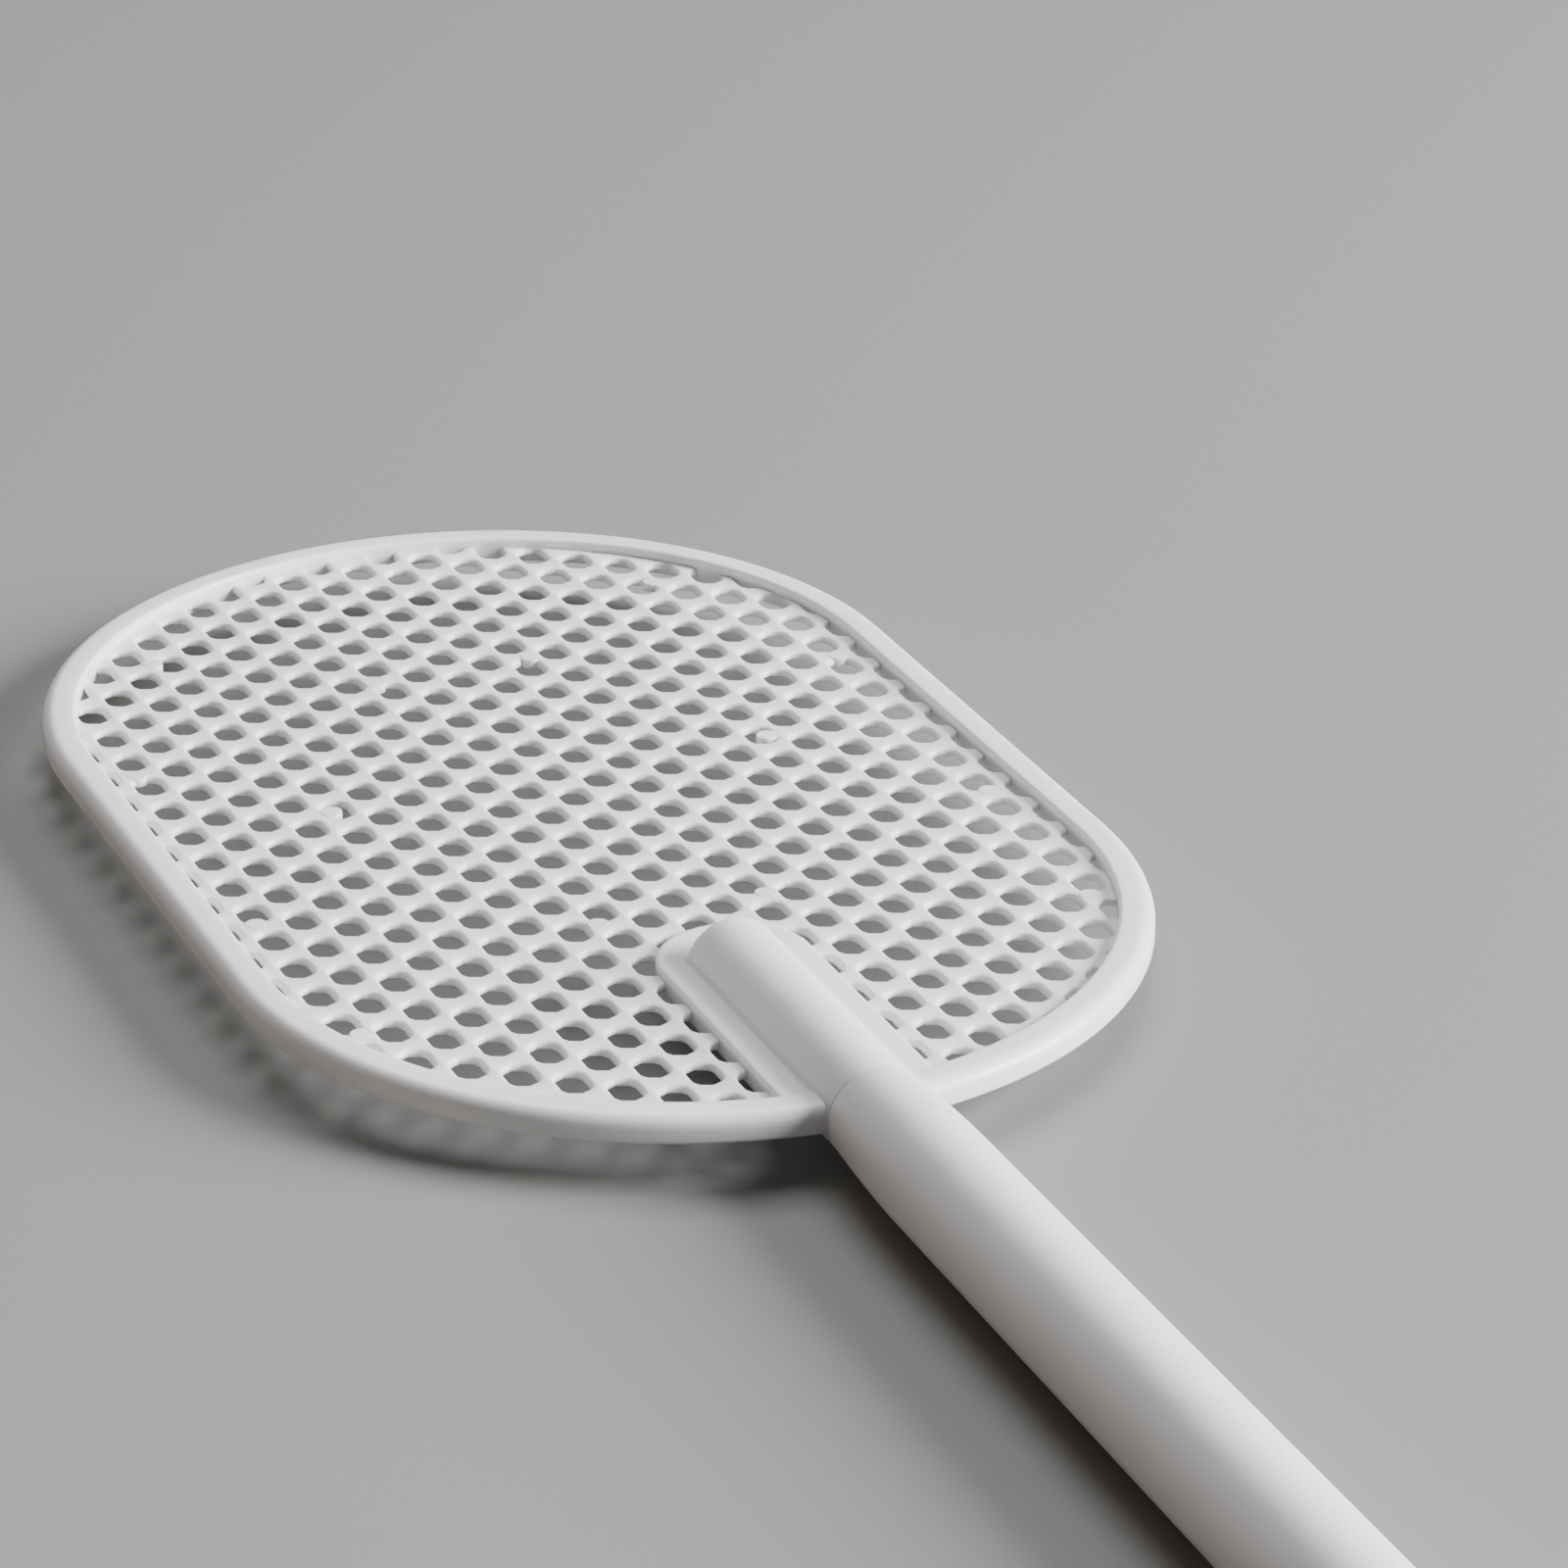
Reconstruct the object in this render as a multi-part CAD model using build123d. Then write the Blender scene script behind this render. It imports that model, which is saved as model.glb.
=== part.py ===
"""Plastic fly swatter: a perforated head in a raised rim, on a plug-in tubular handle.

Units are millimetres. +Y runs along the handle towards the head's tip, +X across the head and +Z up from the
table. The origin is the centre of the swatter's footprint, on the table that it lies on.
"""
import math
import os

from build123d import *

# Overall
TOTAL_LENGTH = 446.0
HEAD_LENGTH = 163.0
HEAD_WIDTH = 102.0
AXIS_HEIGHT = 6.0  # the bar's axis above the table

# Perforated sheet, with its middle plane on the bar's axis
SHEET_THICKNESS = 1.0
SHEET_TUCK = 2.0  # how far the sheet's edge runs into the rim
COLUMN_PITCH = 4.3
SIDE_COLUMNS = 11  # columns of holes on each side of the middle one
HOLE_PITCH = 7.2
HOLE_WIDTH = 3.15
HOLE_LENGTH = 4.9
PATTERN_SHIFT = 1.2  # from the head's centre to the middle column's nearest hole
EJECTOR_PAD_RADIUS = 1.2
EJECTOR_PAD_SPOTS = ((9.8, -30.5), (41.9, -45.0), (43.5, -16.0), (26.5, 8.0), (43.5, 26.0), (9.8, 40.0), (32.0, 56.0))

# Rim
RIM_WIDTH = 3.9
RIM_RISE = 1.2  # above the sheet
RIM_DROP = 0.9  # below the sheet
RIM_TOP_ROUND = 1.2
RIM_FOOT_ROUND = 0.4

# Pad, boss and spigot of the socket
PAD_WIDTH = 17.2
PAD_REACH = 44.6  # from the head's near edge to the pad's tip
PAD_THICKNESS = 0.85  # on each face of the sheet
PAD_ROUND = 0.4
BOSS_RADIUS = 5.4
BOSS_REACH = 37.6  # from the head's near edge to the boss's blind end
BOSS_END_ROUND = 0.7
BOSS_ROOT_ROUND = 1.2
SPIGOT_RADIUS = 4.0
SPIGOT_LENGTH = 24.0
SPIGOT_CHAMFER = 0.6

# Handle tube
MOUTH_RADIUS = BOSS_RADIUS
SHOULDER_RADIUS = 6.1
SHOULDER_LENGTH = 16.0
GRIP_RADIUS = 6.5  # more than the axis height, which leaves a flat underside that stops the grip rolling
GRIP_LENGTH = 115.0
BORE_RADIUS = 4.7  # long bore, from the cap's end to the socket
SOCKET_DEPTH = SPIGOT_LENGTH + 1.0
SLIDING_GAP = 0.04  # radial clearance round the spigot and the plug
BUTT_GAP = 0.1  # at the tube's two ends

# End cap
CAP_LENGTH = 22.0
PLUG_LENGTH = 14.0
PLUG_CHAMFER = 0.5
COLLAR_LENGTH = 3.0
EYE_THICKNESS = 5.0
EYE_SLOPE_LENGTH = 4.0  # from the round collar down to the flat eye
EYE_HOLE_RADIUS = 3.5
EYE_HOLE_CHAMFER = 0.5

# Places that follow from the sizes
TIP_Y = TOTAL_LENGTH / 2
NEAR_Y = TIP_Y - HEAD_LENGTH
HEAD_Y = TIP_Y - HEAD_LENGTH / 2
MOUTH_Y = NEAR_Y - BUTT_GAP
CAP_END_Y = -TOTAL_LENGTH / 2
CAP_FACE_Y = CAP_END_Y + CAP_LENGTH
TUBE_END_Y = CAP_FACE_Y + BUTT_GAP
SHEET_BOTTOM = AXIS_HEIGHT - SHEET_THICKNESS / 2


def stadium(inset):
    """Head's outline as a face in place, moved inwards by inset."""
    return Pos(0, HEAD_Y) * SlotOverall(HEAD_LENGTH - 2 * inset, HEAD_WIDTH - 2 * inset, rotation=90)


def slab(face, bottom, height):
    """Solid over a flat outline, from a given height upwards."""
    return Pos(0, 0, bottom) * extrude(face, height)


def bar(radius, start_y, length):
    """Round bar on the swatter's axis, from start_y towards the tip."""
    low_end = (Align.CENTER, Align.CENTER, Align.MIN)
    return Pos(0, start_y, AXIS_HEIGHT) * Rot(-90, 0, 0) * Cylinder(radius, length, align=low_end)


def pad_outline():
    """Pad's outline, from inside the rim to its round tip."""
    tip_y = NEAR_Y + PAD_REACH - PAD_WIDTH / 2
    start_y = NEAR_Y + RIM_WIDTH / 2
    return Pos(0, (start_y + tip_y) / 2) * Rectangle(PAD_WIDTH, tip_y - start_y) + Pos(0, tip_y) * Circle(PAD_WIDTH / 2)


def opens_inside_rim(x, y):
    """True where a hole centred at x, y opens at least partly inside the rim."""
    straight = (HEAD_LENGTH - HEAD_WIDTH) / 2
    beyond = max(0.0, abs(y - HEAD_Y) - straight)
    return math.hypot(x, beyond) < HEAD_WIDTH / 2 - RIM_WIDTH + HOLE_WIDTH / 4


def hole_centres():
    """Centres of the holes, each column staggered by half a pitch from the next."""
    rows = math.ceil(HEAD_LENGTH / HOLE_PITCH / 2) + 1
    for column in range(-SIDE_COLUMNS, SIDE_COLUMNS + 1):
        stagger = HOLE_PITCH / 2 if column % 2 else 0.0
        for row in range(-rows, rows + 1):
            x = column * COLUMN_PITCH
            y = HEAD_Y + PATTERN_SHIFT + stagger + row * HOLE_PITCH
            if opens_inside_rim(x, y):
                yield x, y


def make_mesh_panel():
    """Perforated sheet. Its holes stop at the rim's inner wall and at the pad's edge."""
    slots = [Pos(x, y) * SlotOverall(HOLE_LENGTH, HOLE_WIDTH, rotation=90) for x, y in hole_centres()]
    ejector_pads = [
        Pos(side * x, HEAD_Y + y) * Circle(EJECTOR_PAD_RADIUS) for x, y in EJECTOR_PAD_SPOTS for side in (-1, 1)
    ]
    window = stadium(RIM_WIDTH) - pad_outline()
    holes = (Sketch() + slots) & window
    sheet = stadium(RIM_WIDTH - SHEET_TUCK) - (holes - ejector_pads)
    return slab(sheet, SHEET_BOTTOM, SHEET_THICKNESS) - bar(BOSS_RADIUS, NEAR_Y, BOSS_REACH)


def make_rim():
    """Raised rim round the sheet's edge, open where the boss passes through it."""
    bottom = SHEET_BOTTOM - RIM_DROP
    height = RIM_DROP + SHEET_THICKNESS + RIM_RISE
    outer = slab(stadium(0), bottom, height)
    outer = fillet(outer.faces().sort_by(Axis.Z)[-1].edges(), RIM_TOP_ROUND)
    outer = fillet(outer.faces().sort_by(Axis.Z)[0].edges(), RIM_FOOT_ROUND)
    groove = slab(stadium(RIM_WIDTH - SHEET_TUCK), SHEET_BOTTOM, SHEET_THICKNESS)
    ring = outer - slab(stadium(RIM_WIDTH), bottom, height) - groove
    return ring - bar(BOSS_RADIUS, NEAR_Y - RIM_WIDTH, BOSS_REACH)


def make_handle_socket(mesh_panel, rim):
    """Pads and boss that grip the sheet from both faces, with the spigot that carries the handle."""
    pad_height = SHEET_THICKNESS + 2 * PAD_THICKNESS
    pads = slab(pad_outline(), AXIS_HEIGHT - pad_height / 2, pad_height)
    pads = fillet(pads.faces().sort_by(Axis.Z)[-1].edges(), PAD_ROUND)
    pads = fillet(pads.faces().sort_by(Axis.Z)[0].edges(), PAD_ROUND)
    boss = bar(BOSS_RADIUS, NEAR_Y, BOSS_REACH)
    boss = fillet(boss.faces().sort_by(Axis.Y)[-1].edges(), BOSS_END_ROUND)
    head_end = pads + boss
    root_half_width = math.sqrt(BOSS_RADIUS**2 - (pad_height / 2) ** 2)
    roots = head_end.edges().filter_by(Axis.Y).filter_by(lambda e: abs(abs(e.center().X) - root_half_width) < 0.01)
    head_end = fillet(roots, BOSS_ROOT_ROUND)
    spigot = bar(SPIGOT_RADIUS, NEAR_Y - SPIGOT_LENGTH, SPIGOT_LENGTH)
    spigot = chamfer(spigot.faces().sort_by(Axis.Y)[0].edges(), SPIGOT_CHAMFER)
    return head_end + spigot - mesh_panel - rim


def flatten_underside(shape):
    """Cut away what would lie below the table."""
    low_top = (Align.CENTER, Align.CENTER, Align.MAX)
    return shape - Box(4 * GRIP_RADIUS, 2 * TOTAL_LENGTH, 2 * GRIP_RADIUS, align=low_top)


def make_handle_tube():
    """Tapered tube, with a socket for the spigot in its mouth and a long bore behind it."""
    shoulder_y = MOUTH_Y - SHOULDER_LENGTH
    grip_y = TUBE_END_Y + GRIP_LENGTH
    socket_radius = SPIGOT_RADIUS + SLIDING_GAP
    socket_y = MOUTH_Y - SOCKET_DEPTH
    flare = Spline(
        (MOUTH_RADIUS, MOUTH_Y), (SHOULDER_RADIUS, shoulder_y), tangents=((0.1, -1), (0.01, -1))
    )
    rest = Polyline(
        (SHOULDER_RADIUS, shoulder_y),
        (GRIP_RADIUS, grip_y),
        (GRIP_RADIUS, TUBE_END_Y),
        (BORE_RADIUS, TUBE_END_Y),
        (BORE_RADIUS, socket_y),
        (socket_radius, socket_y),
        (socket_radius, MOUTH_Y),
        (MOUTH_RADIUS, MOUTH_Y),
    )
    return flatten_underside(Pos(0, 0, AXIS_HEIGHT) * revolve(make_face(flare + rest), Axis.Y))


def make_end_cap():
    """Plug with a round collar that flattens into a hanging eye."""
    eye_radius = GRIP_RADIUS
    eye_y = CAP_END_Y + eye_radius
    slope_y = CAP_FACE_Y - COLLAR_LENGTH
    flat_y = slope_y - EYE_SLOPE_LENGTH
    half = EYE_THICKNESS / 2
    side = Polyline(
        (CAP_END_Y, half),
        (flat_y, half),
        (slope_y, GRIP_RADIUS),
        (CAP_FACE_Y, GRIP_RADIUS),
        (CAP_FACE_Y, -GRIP_RADIUS),
        (slope_y, -GRIP_RADIUS),
        (flat_y, -half),
        (CAP_END_Y, -half),
        close=True,
    )
    profile = extrude(Plane.YZ * make_face(side), GRIP_RADIUS, both=True)
    length = CAP_FACE_Y - eye_y
    plan = Pos(0, eye_y) * Circle(eye_radius) + Pos(0, eye_y + length / 2) * Rectangle(2 * eye_radius, length)
    outline = extrude(plan, GRIP_RADIUS, both=True)
    body = Pos(0, 0, AXIS_HEIGHT) * (profile & outline) & bar(GRIP_RADIUS, CAP_END_Y, CAP_LENGTH)
    hole = Pos(0, eye_y, AXIS_HEIGHT) * Cylinder(EYE_HOLE_RADIUS, 2 * EYE_THICKNESS)
    body = body - hole
    rings = body.edges().filter_by(GeomType.CIRCLE).filter_by(lambda e: abs(e.radius - EYE_HOLE_RADIUS) < 0.01)
    body = chamfer(rings, EYE_HOLE_CHAMFER)
    plug = bar(BORE_RADIUS - SLIDING_GAP, CAP_FACE_Y, PLUG_LENGTH)
    plug = chamfer(plug.faces().sort_by(Axis.Y)[-1].edges(), PLUG_CHAMFER)
    return flatten_underside(body + plug)


def main():
    """Make every piece and write it to its own file."""
    os.makedirs("parts", exist_ok=True)
    mesh_panel = make_mesh_panel()
    rim = make_rim()
    pieces = {
        "mesh_panel": mesh_panel,
        "rim": rim,
        "handle_socket": make_handle_socket(mesh_panel, rim),
        "handle_tube": make_handle_tube(),
        "end_cap": make_end_cap(),
    }
    for name, piece in pieces.items():
        export_step(piece, f"parts/{name}.step")


main()
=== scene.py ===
"""Looks of a white plastic fly swatter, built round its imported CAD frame. Lengths are in metres."""

import logging
import math
from dataclasses import dataclass, field
from enum import Enum
from typing import ClassVar

import bmesh
import bpy
from mathutils import Matrix, Vector


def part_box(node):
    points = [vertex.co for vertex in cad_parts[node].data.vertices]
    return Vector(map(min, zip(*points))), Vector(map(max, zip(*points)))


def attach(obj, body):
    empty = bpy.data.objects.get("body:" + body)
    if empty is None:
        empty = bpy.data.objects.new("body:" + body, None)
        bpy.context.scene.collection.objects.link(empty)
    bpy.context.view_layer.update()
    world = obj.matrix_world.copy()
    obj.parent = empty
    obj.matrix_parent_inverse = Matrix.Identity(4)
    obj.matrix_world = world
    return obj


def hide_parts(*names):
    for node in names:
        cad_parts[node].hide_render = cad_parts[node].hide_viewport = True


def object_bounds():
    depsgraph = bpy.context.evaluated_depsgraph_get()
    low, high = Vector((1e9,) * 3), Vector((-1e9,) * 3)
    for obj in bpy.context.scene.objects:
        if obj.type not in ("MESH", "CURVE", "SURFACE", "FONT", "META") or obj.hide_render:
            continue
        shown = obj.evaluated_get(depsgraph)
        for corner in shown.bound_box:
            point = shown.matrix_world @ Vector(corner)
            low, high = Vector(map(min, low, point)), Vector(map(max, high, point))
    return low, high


Colour = tuple[float, float, float, float]
Tint = tuple[float, float, float]
Stretch = tuple[float, float, float]
Point = tuple[float, float]

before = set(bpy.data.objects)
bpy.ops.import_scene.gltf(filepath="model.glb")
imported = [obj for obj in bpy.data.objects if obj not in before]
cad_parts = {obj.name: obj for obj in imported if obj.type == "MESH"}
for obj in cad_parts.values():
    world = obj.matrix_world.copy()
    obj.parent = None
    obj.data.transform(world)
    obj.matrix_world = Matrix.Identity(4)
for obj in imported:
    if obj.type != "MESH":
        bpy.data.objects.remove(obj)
CAD_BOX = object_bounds()
MM = 0.001
WELD = 0.002 * MM  # vertices closer than this are one
LEVEL_SLACK = 0.01 * MM  # how far a vertex may be from the face or the tile that it belongs to
EASE_FACTOR = 0.5  # share of the way to its neighbours that a smoothing pass moves a vertex
LOG = logging.getLogger("fly_swatter")

PLASTIC_WHITE: Colour = (0.86, 0.86, 0.87, 1.0)
PLASTIC_SHADE: Colour = (0.80, 0.80, 0.80, 1.0)
CLEAR_DAYLIGHT: Tint = (0.95, 0.97, 1.0)
HIGH_DAYLIGHT: Tint = (0.96, 0.97, 1.0)
LAMPLIGHT: Tint = (1.0, 0.68, 0.42)


class Finish(Enum):
    """Surface that the mould leaves on a piece, as its roughness."""

    POLISHED = 0.34
    SATIN = 0.42


class Body(Enum):
    """CAD body that a piece moves with."""

    HEAD = "head"
    HANDLE = "handle"
    CAP = "cap"


# ---------------------------------------------------------------- mesh helpers


def new_piece(name: str, bm: bmesh.types.BMesh) -> bpy.types.Object:
    """Turn a bmesh into a smooth-shaded object at the origin.

    Args:
        name: the piece's name.
        bm: its mesh, which is freed.

    Returns:
        The new object, linked to the scene.
    """
    mesh = bpy.data.meshes.new(name)
    bm.to_mesh(mesh)
    bm.free()
    for polygon in mesh.polygons:
        polygon.use_smooth = True
    piece = bpy.data.objects.new(name, mesh)
    bpy.context.scene.collection.objects.link(piece)
    return piece


def close_and_orient(bm: bmesh.types.BMesh) -> None:
    """Merge doubled vertices and point every face outwards.

    Args:
        bm: the mesh to repair.
    """
    bmesh.ops.remove_doubles(bm, verts=bm.verts, dist=WELD)
    bmesh.ops.recalc_face_normals(bm, faces=bm.faces)


def add_bevel(piece: bpy.types.Object, width: float, segments: int, angle: float = 40.0) -> None:
    """Round the sharp edges of a piece with a live Bevel modifier.

    Args:
        piece: the object.
        width: how far the round reaches on each side of an edge.
        segments: faces across the round.
        angle: edges sharper than this, in degrees, are rounded.
    """
    bevel = piece.modifiers.new("soft_edges", "BEVEL")
    bevel.width = width
    bevel.segments = segments
    bevel.limit_method = "ANGLE"
    bevel.angle_limit = math.radians(angle)
    smooth = piece.modifiers.new("face_weights", "WEIGHTED_NORMAL")
    smooth.keep_sharp = True


def apply_modifiers(piece: bpy.types.Object) -> None:
    """Bake a piece's modifiers into its mesh.

    Args:
        piece: the object, which keeps no modifier.
    """
    depsgraph = bpy.context.evaluated_depsgraph_get()
    finished = bpy.data.meshes.new_from_object(piece.evaluated_get(depsgraph))
    finished.name = piece.data.name
    piece.modifiers.clear()
    piece.data = finished


def soften(piece: bpy.types.Object, voxel: float, rounds: int) -> None:
    """Melt overlapping shapes into one skin and ease its corners.

    Args:
        piece: the object.
        voxel: size of the skin's faces.
        rounds: passes of smoothing.
    """
    melt = piece.modifiers.new("melt", "REMESH")
    melt.mode = "VOXEL"
    melt.voxel_size = voxel
    melt.use_smooth_shade = True
    ease = piece.modifiers.new("ease", "SMOOTH")
    ease.factor = EASE_FACTOR
    ease.iterations = rounds
    apply_modifiers(piece)


def join_ring(bm: bmesh.types.BMesh, rows: list[Point], centre: Vector) -> list:
    """Lay a closed profile in the plane of the bar's axis.

    Args:
        bm: mesh that receives the profile.
        rows: radius and position along the axis of each corner.
        centre: point on the axis where the position is zero.

    Returns:
        The profile's vertices and edges, ready to spin.
    """
    verts = [bm.verts.new(centre + Vector((radius, along, 0.0))) for radius, along in rows]
    edges = [bm.edges.new((verts[i], verts[(i + 1) % len(verts)])) for i in range(len(verts))]
    return verts + edges


def spin_on_axis(bm: bmesh.types.BMesh, profile: list, centre: Vector, steps: int) -> None:
    """Spin a profile all the way round the bar's axis, which runs along Y.

    Args:
        bm: mesh that holds the profile.
        profile: its vertices and edges.
        centre: point on the axis.
        steps: faces all the way round.
    """
    bmesh.ops.spin(
        bm, geom=profile, cent=centre, axis=(0.0, 1.0, 0.0), angle=2 * math.pi, steps=steps, use_merge=True
    )
    close_and_orient(bm)


def cut_away(bm: bmesh.types.BMesh, point: Vector, outward: Vector) -> None:
    """Cut a mesh with a plane and leave the cut open.

    Args:
        bm: the mesh.
        point: point on the plane.
        outward: direction of the side that is cut away.
    """
    geom = [*bm.verts, *bm.edges, *bm.faces]
    bmesh.ops.bisect_plane(bm, geom=geom, dist=WELD, plane_co=point, plane_no=outward, clear_outer=True)


def cut_and_cap(bm: bmesh.types.BMesh, point: Vector, outward: Vector) -> None:
    """Cut a closed mesh with a plane and close the cut.

    Args:
        bm: the mesh.
        point: point on the plane.
        outward: direction of the side that is cut away.
    """
    cut_away(bm, point, outward)
    bmesh.ops.holes_fill(bm, edges=[edge for edge in bm.edges if edge.is_boundary], sides=0)


# ---------------------------------------------------------------- materials


class NodeSheet:
    """Short calls for placing and joining shader nodes in one tree."""

    def __init__(self, tree: bpy.types.NodeTree) -> None:
        """Keep the tree that the nodes go in."""
        self.tree = tree

    def add(self, kind: str, inputs: dict | None = None, **settings: object) -> bpy.types.Node:
        """Place a node.

        Args:
            kind: Blender's node type name.
            inputs: values or sockets for the node's named inputs.
            settings: attributes of the node.

        Returns:
            The new node.
        """
        node = self.tree.nodes.new(kind)
        for name, value in settings.items():
            setattr(node, name, value)
        for name, value in (inputs or {}).items():
            self.feed(node.inputs[name], value)
        return node

    def feed(self, socket: bpy.types.NodeSocket, value: object) -> None:
        """Set a socket's value, or link another socket to it.

        Args:
            socket: the input to feed.
            value: its value, or the socket to link.
        """
        if isinstance(value, bpy.types.NodeSocket):
            self.tree.links.new(value, socket)
        else:
            socket.default_value = value

    def maths(self, operation: str, first: object, second: object = 0.0) -> bpy.types.NodeSocket:
        """Place a Math node.

        Args:
            operation: Blender's name of the sum.
            first: value or socket for its first input.
            second: value or socket for its second input.

        Returns:
            The node's result.
        """
        node = self.add("ShaderNodeMath", operation=operation)
        self.feed(node.inputs[0], first)
        self.feed(node.inputs[1], second)
        return node.outputs["Value"]

    def spread(self, value: object, limits: Point, results: Point = (0.0, 1.0)) -> bpy.types.NodeSocket:
        """Map a value smoothly from one range to another.

        Args:
            value: the socket to map.
            limits: values at which the result starts and stops changing.
            results: the result at those two values.

        Returns:
            The mapped value.
        """
        node = self.add(
            "ShaderNodeMapRange",
            {
                "Value": value,
                "From Min": limits[0],
                "From Max": limits[1],
                "To Min": results[0],
                "To Max": results[1],
            },
            interpolation_type="SMOOTHSTEP",
        )
        return node.outputs["Result"]


def new_group(
    name: str, inputs: dict[str, object], outputs: dict[str, str]
) -> tuple[bpy.types.NodeTree, NodeSheet]:
    """Start a shader node group.

    Args:
        name: the group's name.
        inputs: default value of each named input. A tuple makes a colour or vector socket.
        outputs: socket type of each named output.

    Returns:
        The group and a sheet to place its nodes with.
    """
    group = bpy.data.node_groups.new(name, "ShaderNodeTree")
    for label, value in inputs.items():
        if isinstance(value, tuple):
            kind = "NodeSocketColor" if len(value) == 4 else "NodeSocketVector"
        else:
            kind = "NodeSocketFloat"
        socket = group.interface.new_socket(label, in_out="INPUT", socket_type=kind)
        socket.default_value = value
    for label, kind in outputs.items():
        group.interface.new_socket(label, in_out="OUTPUT", socket_type=kind)
    return group, NodeSheet(group)


@dataclass(frozen=True)
class MouldedSurface:
    """Flow marks, orange peel, grain and scratches that every moulded piece shares."""

    flow_limits: Point = (0.35, 0.75)
    peel_scale: float = 420.0
    peel_limits: Point = (0.3, 0.7)
    peel_roughness: float = 0.05
    peel_height: float = 0.6
    grain_height: float = 0.25
    patch_scale: float = 90.0
    patch_limits: Point = (0.55, 0.75)
    patch_roughness: float = 0.05
    scratch_scale: float = 150.0
    scratch_width: float = 0.012
    scratch_roughness: float = 0.18
    scratch_depth: float = 0.5

    def build(self) -> bpy.types.NodeTree:
        """Make the shared node group.

        Returns:
            A group that gives the colour, roughness and bump height of satin plastic.
        """
        group, sheet = new_group(
            "moulded_plastic",
            {
                "Colour": PLASTIC_WHITE,
                "Shade": PLASTIC_SHADE,
                "Roughness": 0.4,
                "Grain Size": 2600.0,
                "Flow Stretch": (60.0, 14.0, 60.0),
                "Scuff Amount": 0.5,
            },
            {"Colour": "NodeSocketColor", "Roughness": "NodeSocketFloat", "Height": "NodeSocketFloat"},
        )
        given = sheet.add("NodeGroupInput").outputs
        place = sheet.add("ShaderNodeTexCoord").outputs["Object"]
        grain = sheet.add(
            "ShaderNodeTexNoise", {"Vector": place, "Scale": given["Grain Size"], "Detail": 2.0}
        )
        peel = sheet.add("ShaderNodeTexNoise", {"Vector": place, "Scale": self.peel_scale, "Detail": 2.0})
        patches, scratches = self.add_wear(sheet, place, given["Scuff Amount"])

        uneven = (-self.peel_roughness, self.peel_roughness)
        rough = sheet.maths(
            "ADD", given["Roughness"], sheet.spread(peel.outputs["Fac"], self.peel_limits, uneven)
        )
        rough = sheet.maths("ADD", rough, sheet.maths("MULTIPLY", patches, self.patch_roughness))
        rough = sheet.maths("ADD", rough, sheet.maths("MULTIPLY", scratches, self.scratch_roughness))
        height = sheet.maths("MULTIPLY", peel.outputs["Fac"], self.peel_height)
        height = sheet.maths("ADD", height, sheet.maths("MULTIPLY", grain.outputs["Fac"], self.grain_height))
        height = sheet.maths("SUBTRACT", height, sheet.maths("MULTIPLY", scratches, self.scratch_depth))

        end = sheet.add("NodeGroupOutput")
        sheet.feed(end.inputs["Colour"], self.add_flow(sheet, place, given))
        sheet.feed(end.inputs["Roughness"], rough)
        sheet.feed(end.inputs["Height"], height)
        return group

    def add_flow(
        self, sheet: NodeSheet, place: bpy.types.NodeSocket, given: bpy.types.NodeOutputs
    ) -> bpy.types.NodeSocket:
        """Blend the colour with its shade along the way that the plastic flowed.

        Args:
            sheet: where the nodes go.
            place: the Object coordinates.
            given: the group's inputs.

        Returns:
            The blended colour.
        """
        stretched = sheet.add("ShaderNodeVectorMath", operation="MULTIPLY")
        sheet.feed(stretched.inputs[0], place)
        sheet.feed(stretched.inputs[1], given["Flow Stretch"])
        flow = sheet.add(
            "ShaderNodeTexNoise", {"Vector": stretched.outputs["Vector"], "Scale": 1.0, "Detail": 3.0}
        )
        tone = sheet.add("ShaderNodeMix", data_type="RGBA")
        sheet.feed(tone.inputs["Factor"], sheet.spread(flow.outputs["Fac"], self.flow_limits))
        sheet.feed(tone.inputs["A"], given["Colour"])
        sheet.feed(tone.inputs["B"], given["Shade"])
        return tone.outputs["Result"]

    def add_wear(
        self, sheet: NodeSheet, place: bpy.types.NodeSocket, amount: bpy.types.NodeSocket
    ) -> tuple[bpy.types.NodeSocket, bpy.types.NodeSocket]:
        """Place the worn patches and the fine scratches inside them.

        Args:
            sheet: where the nodes go.
            place: the Object coordinates.
            amount: strength of the scratches.

        Returns:
            The masks of the patches and of the scratches.
        """
        bed = sheet.add(
            "ShaderNodeTexNoise",
            {"Vector": place, "Scale": self.patch_scale, "Detail": 5.0, "Roughness": 0.7},
        )
        lines = sheet.add(
            "ShaderNodeTexVoronoi",
            {"Vector": place, "Scale": self.scratch_scale},
            feature="DISTANCE_TO_EDGE",
        )
        hairline = sheet.spread(lines.outputs["Distance"], (0.0, self.scratch_width), (1.0, 0.0))
        patches = sheet.spread(bed.outputs["Fac"], self.patch_limits)
        return patches, sheet.maths("MULTIPLY", sheet.maths("MULTIPLY", hairline, patches), amount)


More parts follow.
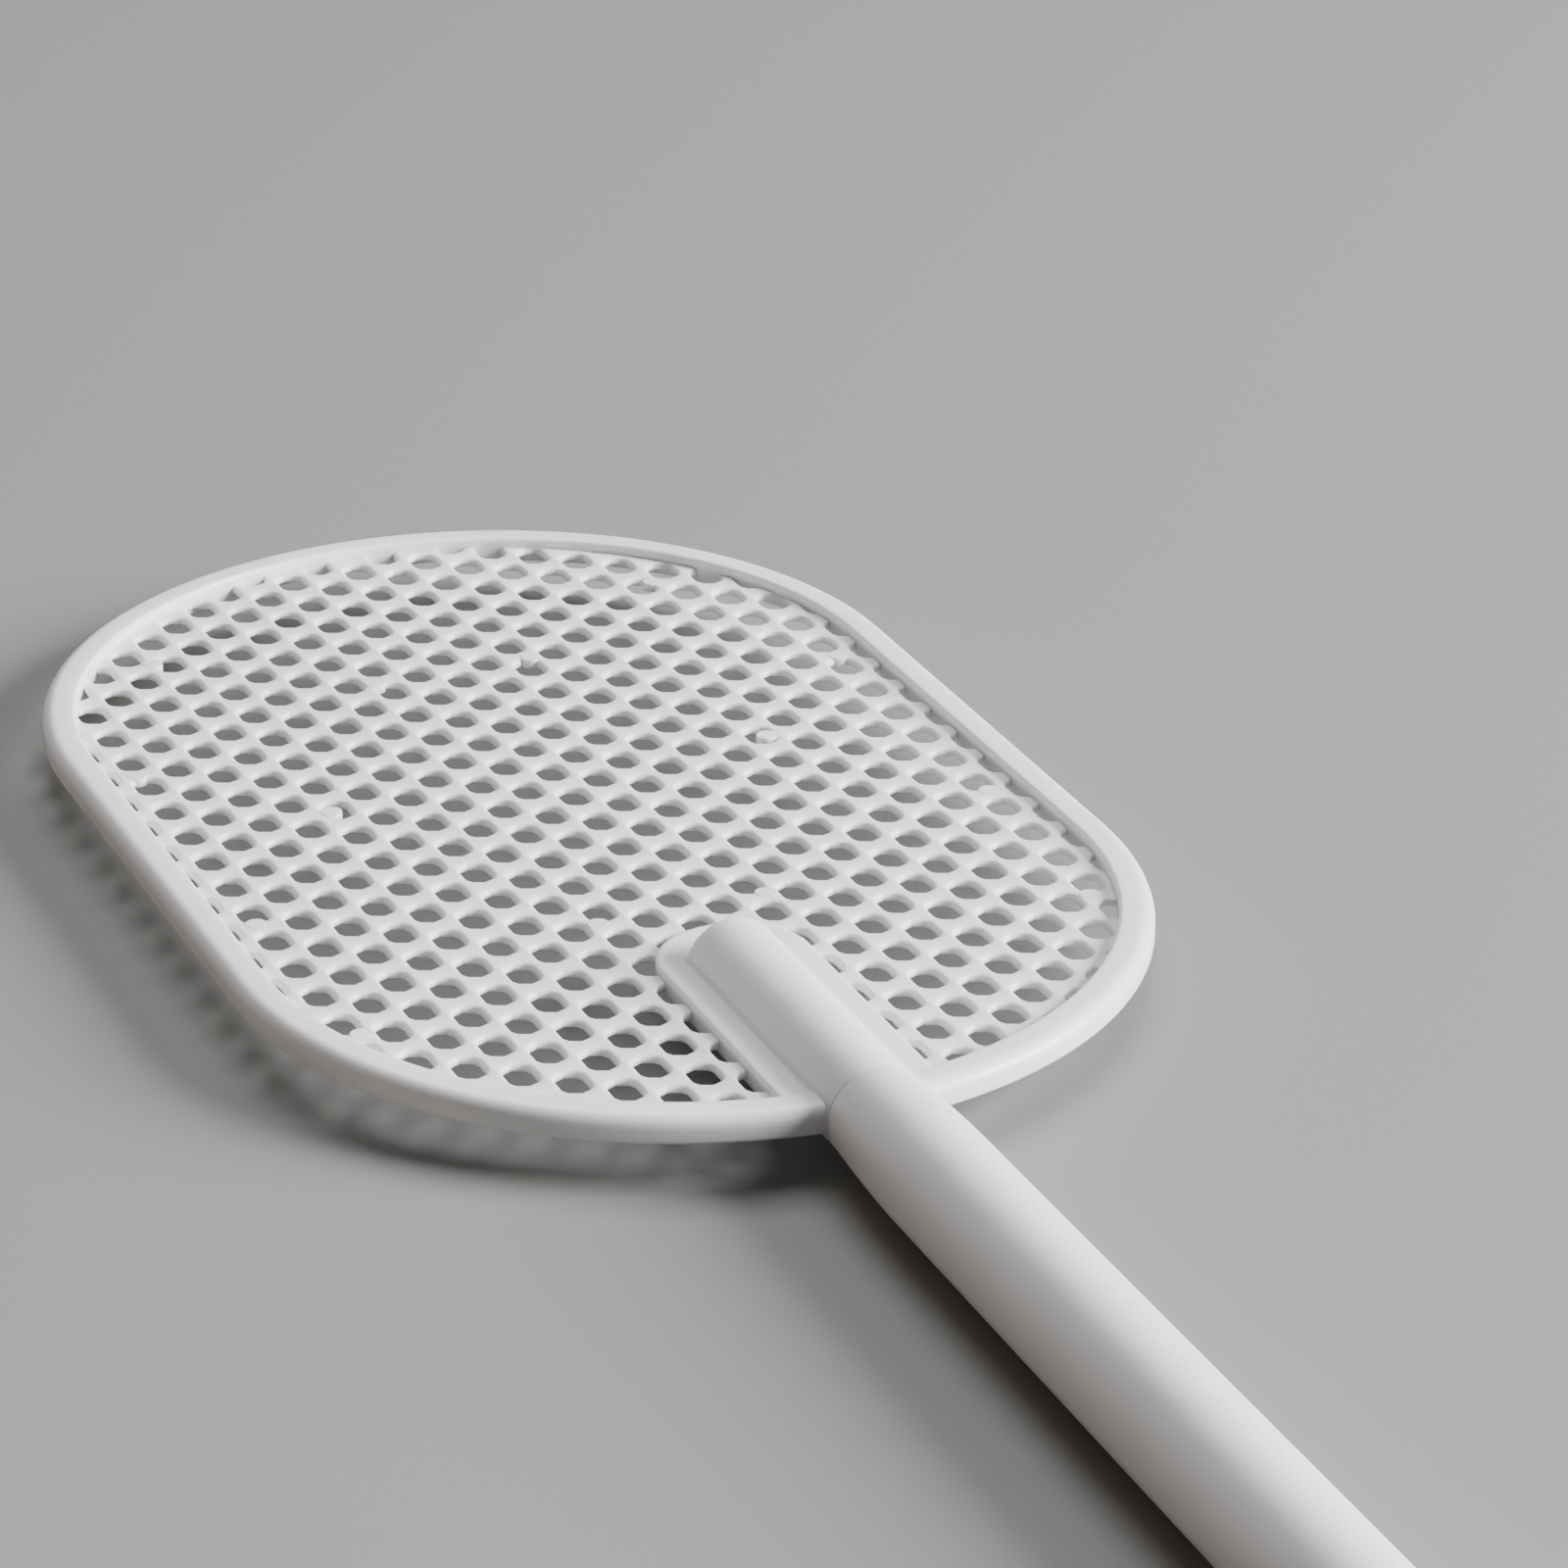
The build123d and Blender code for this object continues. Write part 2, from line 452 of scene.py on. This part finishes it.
@dataclass(frozen=True)
class MouldedPlastic:
    """White satin plastic as it leaves the mould."""

    name: str
    finish: Finish
    colour: Colour = PLASTIC_WHITE
    shade: Colour = PLASTIC_SHADE
    grain_size: float = 2600.0
    flow_stretch: Stretch = (60.0, 14.0, 60.0)
    scuff_amount: float = 0.5
    bump_strength: float = 0.12
    bump_depth: float = 0.03 * MM
    see_through: float = 0.3
    glow_spread: Tint = (1.0, 0.9, 0.8)
    glow_depth: float = 1.2 * MM
    refraction: float = 1.5

    def build(self, group: bpy.types.NodeTree) -> bpy.types.Material:
        """Make the material.

        Args:
            group: the shared moulded-plastic group.

        Returns:
            The finished material.
        """
        material = bpy.data.materials.new(self.name)
        material.use_nodes = True
        sheet = NodeSheet(material.node_tree)
        shader = material.node_tree.nodes["Principled BSDF"]
        surface = sheet.add("ShaderNodeGroup", node_tree=group)
        surface.inputs["Colour"].default_value = self.colour
        surface.inputs["Shade"].default_value = self.shade
        surface.inputs["Roughness"].default_value = self.finish.value
        surface.inputs["Grain Size"].default_value = self.grain_size
        surface.inputs["Flow Stretch"].default_value = self.flow_stretch
        surface.inputs["Scuff Amount"].default_value = self.scuff_amount
        bump = sheet.add(
            "ShaderNodeBump",
            {
                "Strength": self.bump_strength,
                "Distance": self.bump_depth,
                "Height": surface.outputs["Height"],
            },
        )
        sheet.feed(shader.inputs["Base Color"], surface.outputs["Colour"])
        sheet.feed(shader.inputs["Roughness"], surface.outputs["Roughness"])
        sheet.feed(shader.inputs["Normal"], bump.outputs["Normal"])
        shader.inputs["IOR"].default_value = self.refraction
        shader.inputs["Subsurface Weight"].default_value = self.see_through
        shader.inputs["Subsurface Radius"].default_value = self.glow_spread
        shader.inputs["Subsurface Scale"].default_value = self.glow_depth
        return material


# ---------------------------------------------------------------- head


class SubAssembly:
    """What the head, the handle and the cap have in common."""

    body: ClassVar[Body]

    def dress(self, piece: bpy.types.Object, plastic: bpy.types.Material, slot: str, node: str = "") -> None:
        """Give a piece its material and tie it to the sub-assembly's body.

        Args:
            piece: the finished piece.
            plastic: its material.
            slot: name of the material slot in the CAD record; not used.
            node: CAD node that it stands for, or nothing for an extra piece.
        """
        piece.data.materials.clear()
        piece.data.materials.append(plastic)
        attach(piece, self.body.value)
        if node:
            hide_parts(node)


@dataclass
class Head(SubAssembly):
    """Perforated sheet, rim and handle socket."""

    body: ClassVar[Body] = Body.HEAD
    end_radius: float = 51.0 * MM
    rim_width: float = 3.9 * MM
    rim_top_round: float = 1.5 * MM
    rim_foot_round: float = 0.5 * MM
    rim_lip_round: float = 0.45 * MM
    rim_round_segments: int = 7
    rim_end_steps: int = 72
    column_pitch: float = 4.3 * MM
    side_columns: int = 11
    hole_pitch: float = 7.2 * MM
    hole_width: float = 3.15 * MM
    hole_length: float = 4.9 * MM
    pattern_shift: float = 1.2 * MM
    web_round: float = 0.48 * MM
    web_round_segments: int = 3
    web_foot_round: float = 0.2 * MM
    web_foot_segments: int = 1
    sharp_angle: float = 60.0
    cell_columns: int = 4
    cell_rows: int = 6
    cell_border: float = 0.1  # share of the column pitch
    steps_per_quarter: int = 5
    outline_cuts: int = 96
    ejector_radius: float = 1.2 * MM
    ejector_proud: float = 0.05 * MM
    ejector_round: float = 0.06 * MM
    ejector_sides: int = 32
    ejector_spots: tuple[Point, ...] = (  # millimetres from the head's middle
        (9.8, -30.5), (41.9, -45.0), (43.5, -16.0), (26.5, 8.0), (43.5, 26.0), (9.8, 40.0), (32.0, 56.0),
    )
    pad_width: float = 17.2 * MM
    pad_reach: float = 44.6 * MM
    pad_thickness: float = 2.7 * MM
    pad_sides: int = 64
    boss_radius: float = 5.4 * MM
    boss_reach: float = 37.6 * MM
    spigot_radius: float = 4.0 * MM
    spigot_length: float = 24.0 * MM
    spigot_round: float = 0.05 * MM
    bar_sides: int = 96
    spare_length: float = 3.0 * MM
    voxel: float = 0.27 * MM
    ease_rounds: int = 7
    sheet_low: Vector = field(init=False)
    sheet_high: Vector = field(init=False)
    rim_low: Vector = field(init=False)
    rim_high: Vector = field(init=False)
    near_y: float = field(init=False)
    middle_y: float = field(init=False)
    half_straight: float = field(init=False)
    axis_z: float = field(init=False)

    def __post_init__(self) -> None:
        """Take the places of the sheet, rim and socket from the frame."""
        self.sheet_low, self.sheet_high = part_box("mesh_panel")
        self.rim_low, self.rim_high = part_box("rim")
        self.near_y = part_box("handle_socket")[0].y + self.spigot_length
        self.middle_y = (self.rim_high.y + self.near_y) / 2
        self.half_straight = (self.rim_high.y - self.near_y) / 2 - self.end_radius
        self.axis_z = (self.sheet_low.z + self.sheet_high.z) / 2

    def distance_out(self, x: float, y: float) -> float:
        """Distance of a point from the head's spine.

        Args:
            x: place across the head.
            y: place along the head.

        Returns:
            The distance, which equals end_radius on the rim's outer wall.
        """
        beyond = max(0.0, abs(y - self.middle_y) - self.half_straight)
        return math.hypot(x, beyond)

    def hole_centres(self) -> list[Point]:
        """Find the holes that open inside the rim, each column staggered by half a pitch.

        Returns:
            The centre of each hole.
        """
        reach = self.end_radius - self.rim_width + self.hole_width / 2
        rows = math.ceil((self.rim_high.y - self.near_y) / self.hole_pitch / 2) + 1
        centres = []
        for column in range(-self.side_columns, self.side_columns + 1):
            stagger = self.hole_pitch / 2 if column % 2 else 0.0
            for row in range(-rows, rows + 1):
                x = column * self.column_pitch
                y = self.middle_y + self.pattern_shift + stagger + row * self.hole_pitch
                if self.distance_out(x, y) < reach + self.hole_pitch / 2:
                    centres.append((x, y))
        return centres

    def cell(self) -> bmesh.types.BMesh:
        """Flat tile of one hole, with edge points that meet its staggered neighbours.

        Returns:
            A bmesh of the ring between the tile's border and the hole.
        """
        bm = bmesh.new()
        bmesh.ops.create_grid(bm, x_segments=self.cell_columns, y_segments=self.cell_rows, size=0.5)
        bmesh.ops.scale(bm, vec=(self.column_pitch, self.hole_pitch, 1.0), verts=bm.verts)
        bmesh.ops.dissolve_faces(bm, faces=bm.faces, use_verts=False)
        thickness = self.cell_border * self.column_pitch
        ring = bmesh.ops.inset_region(bm, faces=bm.faces, thickness=thickness, use_boundary=True)
        border = set(ring["faces"])
        hole = next(face for face in bm.faces if face not in border)
        for vert in hole.verts:
            vert.co = self.slot_point(vert.co)
        bmesh.ops.delete(bm, geom=[hole], context="FACES_ONLY")
        return bm

    def slot_point(self, place: Vector) -> Vector:
        """Find where a corner of the tile's inner loop goes on the slot-shaped hole.

        Args:
            place: the corner, measured from the hole's centre.

        Returns:
            Its place on the hole's edge.
        """
        radius = self.hole_width / 2
        straight = (self.hole_length - self.hole_width) / 2
        across = abs(place.x) / (self.column_pitch / 2)
        along = abs(place.y) / (self.hole_pitch / 2)
        turn = math.atan2(along, across)
        steps = round(turn / (math.pi / 2) * self.steps_per_quarter)
        if steps == 0:
            return Vector((math.copysign(radius, place.x), 0.0, 0.0))
        arc = (steps - 1) / (self.steps_per_quarter - 1) * math.pi / 2
        x, y = radius * math.cos(arc), straight + radius * math.sin(arc)
        return Vector((math.copysign(x, place.x), math.copysign(y, place.y), 0.0))

    def trim_outline(self, bm: bmesh.types.BMesh, reach: float) -> None:
        """Cut a flat sheet down to the head's outline.

        Args:
            bm: the sheet.
            reach: distance of the outline from the head's spine.
        """
        for index in range(self.outline_cuts):
            turn = 2 * math.pi * index / self.outline_cuts
            outward = Vector((math.cos(turn), math.sin(turn), 0.0))
            end_y = self.middle_y + math.copysign(self.half_straight, outward.y)
            cut_away(bm, Vector((0.0, end_y, 0.0)) + outward * reach, outward)

    def round_edges(self, bm: bmesh.types.BMesh, level: float, radius: float, segments: int) -> None:
        """Round the hole edges of one face of the sheet.

        Args:
            bm: the sheet.
            level: height of the face.
            radius: how far the round reaches.
            segments: faces across the round.
        """
        limit = self.end_radius - self.rim_width / 2 - 2 * radius
        inside = {
            vert for vert in bm.verts
            if abs(vert.co.z - level) < LEVEL_SLACK and self.distance_out(vert.co.x, vert.co.y) < limit
        }
        sharp = [
            edge for edge in bm.edges
            if inside.issuperset(edge.verts) and edge.calc_face_angle(0.0) > math.radians(self.sharp_angle)
        ]
        bmesh.ops.bevel(
            bm, geom=sharp, offset=radius, offset_type="OFFSET", affect="EDGES",
            segments=segments, profile=0.5, material=-1, clamp_overlap=False,
        )

    def build_sheet(self) -> bpy.types.Object:
        """Lay a tile for each hole, trim the pattern under the rim, thicken it and soften its edges.

        Returns:
            The perforated sheet.
        """
        tile = bpy.data.meshes.new("tile")
        pattern = self.cell()
        pattern.to_mesh(tile)
        pattern.free()
        bm = bmesh.new()
        for x, y in self.hole_centres():
            start = len(bm.verts)
            bm.from_mesh(tile)
            bm.verts.ensure_lookup_table()
            bmesh.ops.translate(bm, vec=(x, y, self.sheet_high.z), verts=bm.verts[start:])
        bpy.data.meshes.remove(tile)
        bmesh.ops.remove_doubles(bm, verts=bm.verts, dist=LEVEL_SLACK)
        self.trim_outline(bm, self.end_radius - self.rim_width / 2)
        under = bmesh.ops.extrude_face_region(bm, geom=bm.faces, use_keep_orig=True)["geom"]
        lowered = [item for item in under if isinstance(item, bmesh.types.BMVert)]
        bmesh.ops.translate(bm, vec=(0.0, 0.0, self.sheet_low.z - self.sheet_high.z), verts=lowered)
        bmesh.ops.recalc_face_normals(bm, faces=bm.faces)
        self.round_edges(bm, self.sheet_high.z, self.web_round, self.web_round_segments)
        self.round_edges(bm, self.sheet_low.z, self.web_foot_round, self.web_foot_segments)
        return new_piece("perforated_sheet", bm)

    def build_ejector_pads(self) -> bpy.types.Object:
        """Make the small round pads that the mould's pins leave on the webs, in mirrored pairs.

        Returns:
            All the pads as one piece.
        """
        bm = bmesh.new()
        depth = self.sheet_high.z - self.sheet_low.z + self.ejector_proud
        middle_z = self.axis_z + self.ejector_proud / 2
        for x, y in self.ejector_spots:
            for side in (-1, 1):
                place = Matrix.Translation((side * x * MM, self.middle_y + y * MM, middle_z))
                bmesh.ops.create_cone(
                    bm, cap_ends=True, segments=self.ejector_sides, radius1=self.ejector_radius,
                    radius2=self.ejector_radius, depth=depth, matrix=place,
                )
        pads = new_piece("ejector_pads", bm)
        add_bevel(pads, self.ejector_round, segments=2)
        return pads

    def draw_rim_section(self, bm: bmesh.types.BMesh, centre_y: float) -> list:
        """Draw the rim's rounded section on the head's side.

        Args:
            bm: mesh that receives the section.
            centre_y: where along the head it stands.

        Returns:
            The section's vertices and edges.
        """
        outer, inner = self.end_radius, self.end_radius - self.rim_width
        low, high = self.rim_low.z, self.rim_high.z
        corners = ((outer, high), (outer, low), (inner, low), (inner, high))
        verts = [bm.verts.new((radius, centre_y, z)) for radius, z in corners]
        bm.faces.new(verts)
        rounds = (self.rim_top_round, self.rim_foot_round, self.rim_foot_round, self.rim_lip_round)
        for vert, radius in zip(verts, rounds):
            bmesh.ops.bevel(
                bm, geom=[vert], offset=radius, offset_type="OFFSET", affect="VERTICES",
                segments=self.rim_round_segments, profile=0.5, material=-1,
            )
        outline = [*bm.verts, *bm.edges]
        bmesh.ops.delete(bm, geom=list(bm.faces), context="FACES_ONLY")
        return outline

    def build_rim(self) -> bpy.types.Object:
        """Sweep the rim's section round both ends and along both sides of the head.

        Returns:
            The rim.
        """
        bm = bmesh.new()
        near_y, far_y = self.middle_y - self.half_straight, self.middle_y + self.half_straight
        loop = self.draw_rim_section(bm, near_y)
        for centre_y, other_y in ((near_y, far_y), (far_y, near_y)):
            turned = bmesh.ops.spin(
                bm, geom=loop, cent=(0.0, centre_y, 0.0), axis=(0.0, 0.0, 1.0), angle=-math.pi,
                steps=self.rim_end_steps, use_merge=False,
            )["geom_last"]
            run = [item for item in turned if isinstance(item, bmesh.types.BMEdge)]
            drawn = bmesh.ops.extrude_edge_only(bm, edges=run)["geom"]
            moved = [item for item in drawn if isinstance(item, bmesh.types.BMVert)]
            bmesh.ops.translate(bm, vec=(0.0, other_y - centre_y, 0.0), verts=moved)
            loop = [item for item in drawn if not isinstance(item, bmesh.types.BMFace)]
        close_and_orient(bm)
        return new_piece("rim_bead", bm)

    def build_socket(self) -> bpy.types.Object:
        """Melt the pad and the boss into one soft-cornered moulding and add the spigot.

        Returns:
            The handle socket.
        """
        bm = bmesh.new()
        tip = self.near_y + self.pad_reach - self.pad_width / 2
        start = self.near_y + self.rim_width / 2
        bmesh.ops.create_cone(
            bm, cap_ends=True, segments=self.pad_sides, radius1=self.pad_width / 2,
            radius2=self.pad_width / 2, depth=self.pad_thickness,
            matrix=Matrix.Translation((0.0, tip, self.axis_z)),
        )
        scale = Matrix.Diagonal((self.pad_width, tip - start, self.pad_thickness, 1.0))
        bmesh.ops.create_cube(
            bm, size=1.0, matrix=Matrix.Translation((0.0, (tip + start) / 2, self.axis_z)) @ scale
        )
        self.add_bar(bm, self.boss_radius, self.near_y - self.spare_length, self.near_y + self.boss_reach)
        socket = new_piece("handle_socket_moulding", bm)
        soften(socket, self.voxel, self.ease_rounds)
        melted = bmesh.new()
        melted.from_mesh(socket.data)
        cut_and_cap(melted, Vector((0.0, self.near_y, 0.0)), Vector((0.0, -1.0, 0.0)))
        melted.to_mesh(socket.data)
        melted.free()
        self.join_spigot(socket)
        return socket

    def join_spigot(self, socket: bpy.types.Object) -> None:
        """Unite the moulding with the spigot that the handle tube slides over.

        Args:
            socket: the moulding.
        """
        bm = bmesh.new()
        root_y = self.near_y + self.boss_reach / 2
        self.add_bar(bm, self.spigot_radius, self.near_y - self.spigot_length, root_y)
        spigot = new_piece("spigot_blank", bm)
        union = socket.modifiers.new("spigot", "BOOLEAN")
        union.operation = "UNION"
        union.solver = "EXACT"
        union.object = spigot
        apply_modifiers(socket)
        bpy.data.objects.remove(spigot)
        for polygon in socket.data.polygons:
            polygon.use_smooth = True
        add_bevel(socket, self.spigot_round, segments=2, angle=self.sharp_angle)

    def add_bar(self, bm: bmesh.types.BMesh, radius: float, start_y: float, end_y: float) -> None:
        """Add a round bar on the axis to a mesh.

        Args:
            bm: the mesh.
            radius: the bar's radius.
            start_y: where it starts.
            end_y: where it ends.
        """
        middle = Matrix.Translation((0.0, (start_y + end_y) / 2, self.axis_z))
        place = middle @ Matrix.Rotation(math.pi / 2, 4, "X")
        bmesh.ops.create_cone(
            bm, cap_ends=True, segments=self.bar_sides, radius1=radius, radius2=radius,
            depth=end_y - start_y, matrix=place,
        )


# ---------------------------------------------------------------- handle


@dataclass
class Handle(SubAssembly):
    """Hollow tube that flares from its mouth to the grip."""

    body: ClassVar[Body] = Body.HANDLE
    mouth_radius: float = 5.4 * MM
    shoulder_radius: float = 6.1 * MM
    shoulder_length: float = 16.0 * MM
    grip_length: float = 115.0 * MM
    socket_radius: float = 4.04 * MM
    socket_depth: float = 25.0 * MM
    bore_radius: float = 4.7 * MM
    grip_radius: float = 6.5 * MM
    edge_round: float = 0.06 * MM
    steps: int = 96
    flare_shares: tuple[float, ...] = (0.0, 0.12, 0.3, 0.5, 0.7, 0.88, 1.0)

    def build(self, axis_z: float) -> bpy.types.Object:
        """Spin the tube's wall round the axis and cut the flat that it lies on.

        Args:
            axis_z: height of the axis.

        Returns:
            The tube.
        """
        low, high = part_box("handle_tube")
        centre = Vector((0.0, 0.0, axis_z))
        flare = []
        for share in self.flare_shares:
            ease = math.sin(share * math.pi / 2)
            radius = self.mouth_radius + (self.shoulder_radius - self.mouth_radius) * ease
            flare.append((radius, high.y - share * self.shoulder_length))
        rest = [
            (self.grip_radius, low.y + self.grip_length),
            (self.grip_radius, low.y),
            (self.bore_radius, low.y),
            (self.bore_radius, high.y - self.socket_depth),
            (self.socket_radius, high.y - self.socket_depth),
            (self.socket_radius, high.y),
        ]
        bm = bmesh.new()
        spin_on_axis(bm, join_ring(bm, flare + rest, centre), centre, self.steps)
        cut_and_cap(bm, Vector((0.0, 0.0, low.z)), Vector((0.0, 0.0, -1.0)))
        tube = new_piece("handle_tube_wall", bm)
        add_bevel(tube, self.edge_round, segments=3)
        return tube


@dataclass
class EndCap(SubAssembly):
    """Plug with a collar that flattens into a hanging eye."""

    body: ClassVar[Body] = Body.CAP
    voxel: float = 0.25 * MM
    ease_rounds: int = 6

    def build(self) -> bpy.types.Object:
        """Soften a copy of the CAD cap, so that its corners are rounded as a mould leaves them.

        Returns:
            The cap.
        """
        bm = bmesh.new()
        bm.from_mesh(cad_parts["end_cap"].data)
        close_and_orient(bm)
        cap = new_piece("end_cap_moulding", bm)
        soften(cap, self.voxel, self.ease_rounds)
        return cap


# ---------------------------------------------------------------- studio


@dataclass(frozen=True)
class Softbox:
    """Square soft light that faces the head."""

    name: str
    azimuth: float
    elevation: float
    distance: float
    side: float
    watts: float
    tint: Tint


@dataclass
class Studio:
    """Floor, camera and lights."""

    azimuth: float = -23.47
    elevation: float = 24.5
    distance: float = 0.6535
    lens: float = 132.75
    aim_across: float = 22.9 * MM
    aim_along: float = -5.35 * MM
    floor_size: float = 12.0
    floor_colour: Colour = (0.24, 0.235, 0.22, 1.0)
    floor_roughness: float = 0.5
    room_colour: Colour = (0.62, 0.64, 0.68, 1.0)
    room_strength: float = 0.13
    nearest_view: float = 0.01
    softboxes: tuple[Softbox, ...] = (
        Softbox("window", 62.0, 24.0, distance=1.6, side=0.8, watts=104.0, tint=CLEAR_DAYLIGHT),
        Softbox("overhead", 150.0, 62.0, distance=1.8, side=1.3, watts=25.0, tint=HIGH_DAYLIGHT),
        Softbox("warm_fill", -105.0, 20.0, distance=1.8, side=1.2, watts=2.6, tint=LAMPLIGHT),
    )

    def aim(self, head: Head) -> Vector:
        """Point on the sheet that the camera looks at."""
        return Vector((self.aim_across, head.middle_y + self.aim_along, head.sheet_high.z))

    def direction(self, azimuth: float, elevation: float) -> Vector:
        """Find the unit vector from the object towards a place round it.

        Args:
            azimuth: degrees round the object.
            elevation: degrees above the floor.

        Returns:
            The direction.
        """
        turn, rise = math.radians(azimuth), math.radians(elevation)
        return Vector((math.sin(turn) * math.cos(rise), -math.cos(turn) * math.cos(rise), math.sin(rise)))

    def add_camera(self, target: Vector) -> None:
        """Place the camera and make it the scene's own.

        Args:
            target: point that it looks at.
        """
        camera = bpy.data.objects.new("camera", bpy.data.cameras.new("camera"))
        bpy.context.scene.collection.objects.link(camera)
        back = self.direction(self.azimuth, self.elevation)
        camera.location = target + back * self.distance
        camera.rotation_euler = (-back).to_track_quat("-Z", "Y").to_euler()
        camera.data.lens = self.lens
        camera.data.clip_start = self.nearest_view
        bpy.context.scene.camera = camera

    def add_softbox(self, box: Softbox, target: Vector) -> None:
        """Add a soft light aimed at the head.

        Args:
            box: the light's place, size and colour.
            target: point that it faces.
        """
        light = bpy.data.lights.new(box.name, "AREA")
        light.shape = "SQUARE"
        light.size = box.side
        light.energy = box.watts
        light.color = box.tint
        lamp = bpy.data.objects.new(box.name, light)
        bpy.context.scene.collection.objects.link(lamp)
        back = self.direction(box.azimuth, box.elevation)
        lamp.location = target + back * box.distance
        lamp.rotation_euler = (-back).to_track_quat("-Z", "Y").to_euler()

    def add_floor(self) -> None:
        """Lay the plain floor under the object."""
        bm = bmesh.new()
        bmesh.ops.create_grid(bm, x_segments=1, y_segments=1, size=self.floor_size / 2)
        bmesh.ops.translate(bm, vec=(0.0, 0.0, CAD_BOX[0].z), verts=bm.verts)
        floor = new_piece("floor", bm)
        paint = bpy.data.materials.new("pale_floor")
        paint.use_nodes = True
        shader = paint.node_tree.nodes["Principled BSDF"]
        shader.inputs["Base Color"].default_value = self.floor_colour
        shader.inputs["Roughness"].default_value = self.floor_roughness
        floor.data.materials.append(paint)

    def add_room_light(self) -> None:
        """Set the dim light that comes from all sides."""
        world = bpy.data.worlds.new("room")
        world.use_nodes = True
        background = world.node_tree.nodes["Background"]
        background.inputs["Color"].default_value = self.room_colour
        background.inputs["Strength"].default_value = self.room_strength
        bpy.context.scene.world = world

    def build(self, head: Head) -> None:
        """Set up the whole studio round the head.

        Args:
            head: the head, whose place the camera and the lights follow.
        """
        target = self.aim(head)
        self.add_camera(target)
        self.add_floor()
        self.add_room_light()
        for box in self.softboxes:
            self.add_softbox(box, target)


def main() -> None:
    """Build every piece, dress it and tie it to its body."""
    logging.basicConfig(level=logging.INFO, format="%(name)s: %(message)s")
    head, handle, cap = Head(), Handle(), EndCap()
    Studio().build(head)
    surface = MouldedSurface().build()
    sheet_white = MouldedPlastic("sheet_white", Finish.SATIN).build(surface)
    rim_white = MouldedPlastic("rim_white", Finish.POLISHED, scuff_amount=0.7).build(surface)
    socket_white = MouldedPlastic("socket_white", Finish.SATIN).build(surface)
    handle_white = MouldedPlastic("handle_white", Finish.SATIN, scuff_amount=0.8).build(surface)
    cap_white = MouldedPlastic("cap_white", Finish.SATIN, scuff_amount=0.8).build(surface)
    pieces = (
        (head, head.build_sheet(), sheet_white, "sheet_plastic", "mesh_panel"),
        (head, head.build_rim(), rim_white, "rim_plastic", "rim"),
        (head, head.build_socket(), socket_white, "socket_plastic", "handle_socket"),
        (handle, handle.build(head.axis_z), handle_white, "handle_plastic", "handle_tube"),
        (cap, cap.build(), cap_white, "cap_plastic", "end_cap"),
        (head, head.build_ejector_pads(), sheet_white, "sheet_plastic", ""),
    )
    for owner, piece, plastic, slot, node in pieces:
        owner.dress(piece, plastic, slot, node)
        LOG.info("%s: %d faces", piece.name, len(piece.data.polygons))


if __name__ == "__main__":
    main()
